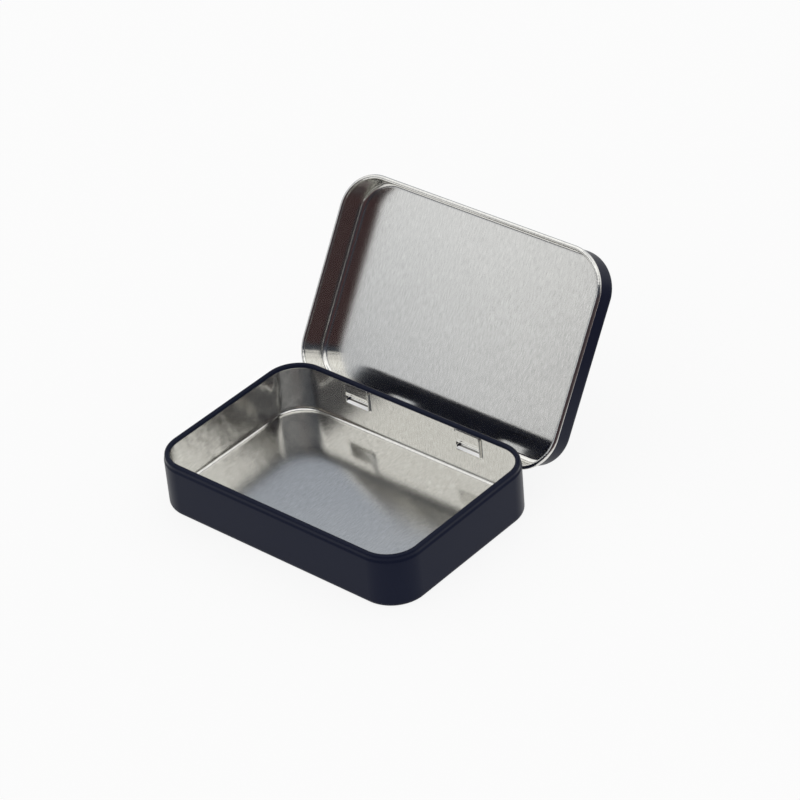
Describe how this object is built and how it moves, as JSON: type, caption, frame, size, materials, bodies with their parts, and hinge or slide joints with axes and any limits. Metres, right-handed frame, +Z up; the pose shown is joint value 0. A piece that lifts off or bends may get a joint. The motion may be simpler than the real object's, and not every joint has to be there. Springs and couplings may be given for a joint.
{
  "type": "mint tin",
  "caption": "Pocket tin standing open: a rounded rectangular drawn base with a curled rim, and a drawn lid hinged along its back edge.",
  "frame": {"origin": "middle of the base's underside", "axes": "+X along the long side, +Y back towards the hinge, +Z up"},
  "size_m": [0.0952, 0.1035, 0.064],
  "materials": {
    "base_sheet": "satin",
    "lid_sheet": "satin"
  },
  "bodies": {
    "base": {"tin_base": "base_sheet"},
    "lid": {"tin_lid": "lid_sheet"}
  },
  "joints": [
    {"name": "lid_hinge", "type": "hinge", "parent": "base", "child": "lid", "pos_m": [0, 0.03205, 0.00874], "axis": [-1, 0, 0], "range_deg": [-121.7, 0]}
  ]
}
